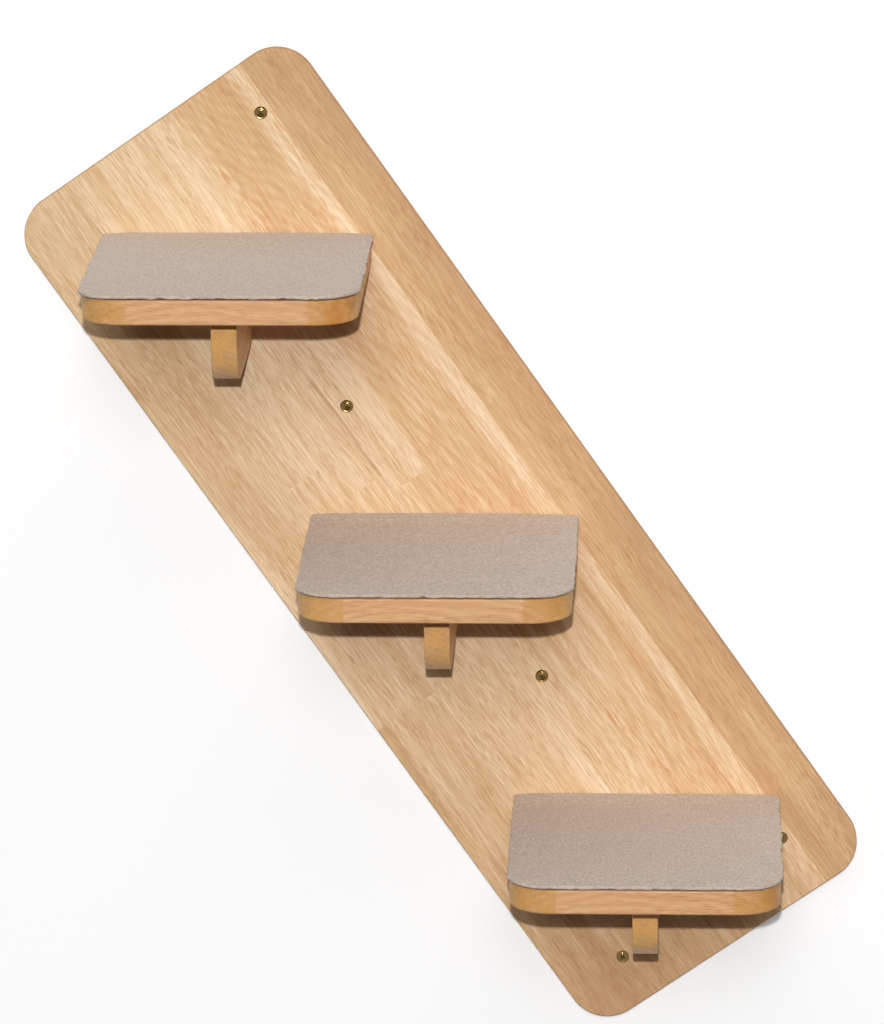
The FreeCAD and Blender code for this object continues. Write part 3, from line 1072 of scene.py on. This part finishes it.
def cut_sheet(low, high, corners):
    """An even sheet in the box, whose front left, front right and back corners have these radii."""
    size = high - low
    columns, rows = round(size.x / MAT_CELL), round(size.y / MAT_CELL)
    spread = Matrix.Diagonal((size.x / 2, size.y / 2, 1, 1))
    centre = Matrix.Translation(((low.x + high.x) / 2, (low.y + high.y) / 2, high.z))
    bm = bmesh.new()
    bmesh.ops.create_grid(bm, x_segments=columns, y_segments=rows, size=1, matrix=centre @ spread)
    ends = [(x, y) for y in ((low.y, 1), (high.y, -1)) for x in ((low.x, 1), (high.x, -1))]
    for vertex in bm.verts:
        for radius, ((x, inward_x), (y, inward_y)) in zip(corners, ends):
            corner_drawn_in(vertex.co, Vector((x, y)), Vector((inward_x, inward_y)), radius)
    lower = bmesh.ops.extrude_face_region(bm, geom=list(bm.faces), use_keep_orig=True)["geom"]
    moved = [item for item in lower if isinstance(item, bmesh.types.BMVert)]
    bmesh.ops.translate(bm, verts=moved, vec=(0, 0, low.z - high.z))
    bmesh.ops.recalc_face_normals(bm, faces=bm.faces)
    bevel(bm, rims(bm), MAT_RIM, 3)
    return bm


# %% Helper: cloth's unevenness
def eased(share):
    """A smooth step from 0 to 1."""
    share = min(1.0, max(0.0, share))
    return share * share * (3 - 2 * share)


def rough(waves, point, start):
    return sum(height * noise.noise(point * blots + start) for height, blots in waves)


def loosen(bm, level, seed):
    """Moves the points of an even sheet as its cloth would lie on the shelf's tapes."""
    low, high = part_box("mat_" + level)
    tape_low, tape_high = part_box("loop_strips_" + level)
    middle = (low + high) / 2
    start = Vector((0, 0, 9.7 * seed))
    lift_from = tape_high.y + LIFT_START
    for vertex in bm.verts:
        point = vertex.co.copy()
        inset = min(point.x - low.x, high.x - point.x, point.y - low.y)
        loose = 1 - min(1.0, max(0.0, inset / LOOSE_RIM))
        loose *= eased((high.y - point.y) / STEADY_BACK)
        out = Vector((point.x - middle.x, point.y - middle.y, 0)).normalized()
        wander = rough(OUTLINE_WAVES, point, start) + rough(FRAY_WAVES, point, start)
        vertex.co += out * loose * wander
        vertex.co.z += loose * rough(CURL_WAVES, point, -start)
        vertex.co.z += rough(DENT_WAVES, point, start) * (1.0 if point.z > middle.z else 0.4)
        beside = max(tape_low.x - point.x, point.x - tape_high.x, 0)
        before = max(tape_low.y - point.y, 0)
        limp = 0.75 + 0.25 * noise.noise(Vector((point.x * 11, point.y * 11, seed)))
        vertex.co.z -= SAG * limp * eased(max(beside / SAG_BESIDE, before / SAG_BEFORE))
        vertex.co.z += BACK_LIFT[level] * eased((point.y - lift_from) / (high.y - lift_from))


# %% The mats
for number, level in enumerate(LEVELS):
    low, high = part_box("mat_" + level)
    corners = (*MAT_FRONT_CORNERS[level], MAT_BACK_CORNER, MAT_BACK_CORNER)
    bm = cut_sheet(low, high, corners)
    loosen(bm, level, number)
    mat = to_object(bm, "mat_cloth_" + level)
    finished(mat, "mat_" + level, level + "_mat", FABRIC)

# %% [markdown]
# ## Hook and loop tape
#
# The tape shows only when a mat is lifted. Each strip is a flat woven ground with a raised field of
# pile inside plain selvedges. Single hooks would be far too small to see and too many to make. A
# grid over the field, with every second crossing pulled up, gives the rows of hooks, and the same
# field with uneven heights gives the loops.

# %% Helper: one strip of tape
TAPE_WIDTH = 0.020
SELVEDGE = 0.0018
GROUND_SHARE = 0.45  # of the tape's thickness, the ground under the pile
FIELD_SHARE = 0.8  # of the ground's thickness, where the pile's field lies
PILE_PITCH = 0.0012


def tape_strip(centre, length, thickness, up, looped):
    """A strip whose ground lies on the centre point, with its pile up, 1, or down, -1."""
    ground = thickness * GROUND_SHARE
    field_height = ground * FIELD_SHARE
    slab = Matrix.Diagonal((length, TAPE_WIDTH, ground, 1))
    slab = Matrix.Translation(centre + UP * up * ground / 2) @ slab
    strip = bmesh.new()
    bmesh.ops.create_cube(strip, size=1, matrix=slab)
    bevel(strip, rims(strip), ground * 0.3, 2)
    field = (length - 2 * SELVEDGE, TAPE_WIDTH - 2 * SELVEDGE)
    columns, rows = (round(side / PILE_PITCH) for side in field)
    spread = Matrix.Diagonal((field[0] / 2, field[1] / 2, 1, 1))
    spread = Matrix.Translation(centre + UP * up * field_height) @ spread
    made = bmesh.ops.create_grid(strip, x_segments=columns, y_segments=rows, size=1, matrix=spread)
    faces = list({face for vertex in made["verts"] for face in vertex.link_faces})
    for number, vertex in enumerate(made["verts"]):
        if vertex.is_boundary:
            continue
        row, column = divmod(number, columns + 1)
        height = (row + column) % 2
        if looped:
            height = 0.6 + 0.4 * noise.noise(vertex.co * 1700)
        vertex.co.z += up * (thickness - field_height) * height
    extruded = bmesh.ops.extrude_face_region(strip, geom=faces, use_keep_orig=True)["geom"]
    for item in extruded:
        if isinstance(item, bmesh.types.BMVert):
            item.co.z = centre.z + up * ground * 0.5
    return cleaned(strip)


# %% The tapes
def tape_pair(name, node, up, looped):
    """The strip near the board and the one near the shelf's front, as one piece."""
    low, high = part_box(node)
    strips = []
    for start in (low.y, high.y - TAPE_WIDTH):
        base = low.z if up > 0 else high.z
        centre = Vector(((low.x + high.x) / 2, start + TAPE_WIDTH / 2, base))
        strip = tape_strip(centre, high.x - low.x, high.z - low.z, up, looped)
        strips.append((strip, Matrix.Identity(4)))
    return to_object(joined(strips), name)


for level in LEVELS:
    hooks = tape_pair("hook_tape_" + level, "hook_strips_" + level, up=1, looped=False)
    finished(hooks, "hook_strips_" + level, ROOT, HOOK_NYLON)
    loops = tape_pair("loop_tape_" + level, "loop_strips_" + level, up=-1, looped=True)
    finished(loops, "loop_strips_" + level, level + "_mat", LOOP_NYLON)

# %% [markdown]
# ## Wall and floor
#
# The board hangs on a white wall with a pale floor well below it. Both are only there from the room
# side: seen from behind they let everything through, so that the board's back and the screws that
# go into the wall can be looked at. The wall has an opening just behind the board for the same
# reason. Both surfaces are matt white and take the object's shadow, and fade to plain white further
# out. A white wall would need more light than the object does. So each surface shines a little of
# its own, which only the rays that show it to the camera see, and which lights nothing.

# %% Recipe: the stage's white
WHITE = (1, 1, 1, 1)
FADE = (0.9, 1.9)  # the distances between which the surfaces fade to plain white


def seen_rays(recipe):
    """1 for the camera's own rays and those of reflections and glass, which show the background."""
    rays = recipe.node("LightPath", {}).node.outputs
    seen = recipe.plus(rays["Is Camera Ray"], rays["Is Glossy Ray"], rays["Is Transmission Ray"])
    seen.node.use_clamp = True
    return seen


def studio_white(name, paint_white, lift):
    recipe = Recipe(name)
    seen = seen_rays(recipe)
    paint = recipe.node("BsdfDiffuse", {"Color": (paint_white, paint_white, paint_white, 1)})
    shine = recipe.node("Emission", {"Color": WHITE, "Strength": recipe.times(seen, lift)})
    near = recipe.node("AddShader", {0: paint, 1: shine})
    far = recipe.node("Emission", {"Color": WHITE, "Strength": seen})
    distance = recipe.node("VectorMath", {0: recipe.position}, "Value", operation="LENGTH")
    room_side = recipe.node("MixShader", {0: recipe.ramp(distance, *FADE), 1: near, 2: far})
    behind = recipe.node("NewGeometry", {}, "Backfacing")
    gone = recipe.node("BsdfTransparent", {})
    shader = recipe.node("MixShader", {0: behind, 1: room_side, 2: gone})
    recipe.node("OutputMaterial", {"Surface": shader})
    return recipe.owner


# %% The stage
STAGE_SIZE = 14.0
FLOOR_HEIGHT = -1.1
WALL_GAP = 0.0004  # from the board's back to the wall


def stage_piece(bm, name, paint_white, lift):
    piece = to_object(bm, name)
    piece.data.materials.append(studio_white(name + "_white", paint_white, lift))
    return piece


# the wall starts as a plane with the board's outline, whose edges are drawn far out all round
bm = bmesh.new()
outline = Matrix.Diagonal((board_length / 2, board_width / 2, 1, 1))
corners = bmesh.ops.create_grid(bm, x_segments=1, y_segments=1, size=1, matrix=outline)["verts"]
bmesh.ops.bevel(bm, geom=corners, offset=BOARD_CORNER, segments=24, profile=0.5, affect="VERTICES")
opening = list(bm.faces)
ring = bmesh.ops.extrude_edge_only(bm, edges=bm.edges[:])["geom"]
for vertex in ring:
    if isinstance(vertex, bmesh.types.BMVert):
        vertex.co = vertex.co.normalized() * STAGE_SIZE
bmesh.ops.delete(bm, geom=opening, context="FACES_ONLY")
bmesh.ops.transform(bm, verts=bm.verts, matrix=Matrix.Translation((0, WALL_GAP, 0)) @ stand)
wall = stage_piece(bm, "studio_wall", paint_white=0.92, lift=0.15)

bm = bmesh.new()
floor_place = Matrix.Translation((0, WALL_GAP - STAGE_SIZE / 2, FLOOR_HEIGHT))
bmesh.ops.create_grid(bm, x_segments=8, y_segments=8, size=STAGE_SIZE / 2, matrix=floor_place)
floor = stage_piece(bm, "studio_floor", paint_white=0.25, lift=0.75)

for piece, direction in ((wall, OUT), (floor, UP)):
    if piece.data.polygons[0].normal.dot(direction) < 0:
        piece.data.flip_normals()
    print(piece.name, "faces the room:", piece.data.polygons[0].normal.dot(direction) > 0.9)

# %% [markdown]
# ## Camera
#
# A long lens from nearly six metres away, a little above the object and looking down on it by about
# 15 degrees. It was found by matching the corners of the board, the shelves and the brackets to the
# picture. A camera looks along its own -Z, so it is first raised to the horizon, then pitched,
# turned and rolled.

# %% The camera
PICTURE_HEIGHT = 1024  # pixels, the longer side
FOCAL_PIXELS = 6053.4
CAMERA_PLACE = Vector((0.23063, -5.73491, 1.52528))
CAMERA_YAW = math.radians(2.333)
CAMERA_PITCH = math.radians(14.629)
CAMERA_ROLL = math.radians(-0.371)

camera = bpy.data.objects.new("camera", bpy.data.cameras.new("camera"))
bpy.context.scene.collection.objects.link(camera)
bpy.context.scene.camera = camera
camera.data.sensor_width = 36
camera.data.lens = camera.data.sensor_width * FOCAL_PIXELS / PICTURE_HEIGHT
aim = Matrix.Rotation(CAMERA_YAW, 4, "Z") @ Matrix.Rotation(math.pi / 2 - CAMERA_PITCH, 4, "X")
camera.matrix_world = Matrix.Translation(CAMERA_PLACE) @ aim @ Matrix.Rotation(CAMERA_ROLL, 4, "Z")
print(f"lens {camera.data.lens:.1f} mm")

# %% [markdown]
# ## Light
#
# The shelves throw one crisp shadow each, straight down the board, so the key light is small and
# sits just above the camera. Two broad soft lights, one high in front and one overhead, are so far
# away that they light the top of the board as much as its foot. A sun lamp with a wide angle is
# such a light. They lift the board below the crisp shadow, light the mats, and give the board's soft
# shadow on the wall. One more from behind the wall only serves the views from behind.
#
# A lamp's power says little by itself. Here each lamp is given by the share of plain level that it
# lays on a surface that faces it, where 1 renders a colour as it is written.

# %% The lamps
TARGET = Vector((0, -0.1, 0))


def add_lamp(name, data, place):
    lamp = bpy.data.objects.new(name, data)
    bpy.context.scene.collection.objects.link(lamp)
    aim = (TARGET - place).to_track_quat("-Z", "Y").to_matrix().to_4x4()
    lamp.matrix_world = Matrix.Translation(place) @ aim
    lamp.visible_camera = False
    print(name, "energy", round(data.energy, 2))


def small_lamp(name, place, share, size):
    """A round lamp near enough to draw crisp shadows."""
    data = bpy.data.lights.new(name, "AREA")
    data.shape = "DISK"
    data.size = size
    data.energy = math.pi**2 * (TARGET - place).length_squared * share
    add_lamp(name, data, place)


def broad_lamp(name, turn, height, share, spread):
    """A far and broad light, by its turn to the right and its height, in degrees."""
    data = bpy.data.lights.new(name, "SUN")
    data.angle = math.radians(spread)
    data.energy = math.pi * share
    level = math.cos(math.radians(height))
    way = Vector((level * math.sin(math.radians(turn)), -level * math.cos(math.radians(turn)), 0))
    way.z = math.sin(math.radians(height))
    add_lamp(name, data, TARGET + way * 5)  # how far off a sun stands makes no difference


small_lamp("key", CAMERA_PLACE + Vector((-0.02, 0, 0.28)), share=0.59, size=0.07)
broad_lamp("front_light", turn=0, height=26, share=0.30, spread=20)
broad_lamp("overhead_light", turn=0, height=72, share=0.29, spread=66)
broad_lamp("behind_the_wall", turn=165, height=30, share=0.9, spread=30)

# %% The world, and the plain view transform
AMBIENT = 0.008  # the world's own light on the object

sky = Recipe("white_room", "worlds")
brightness = sky.ramp(seen_rays(sky), 0, 1, AMBIENT, 1)
light = sky.node("Background", {"Color": WHITE, "Strength": brightness})
sky.node("OutputWorld", {"Surface": light})
bpy.context.scene.world = sky.owner
bpy.context.scene.view_settings.view_transform = "Standard"
print("world:", sky.owner.name)
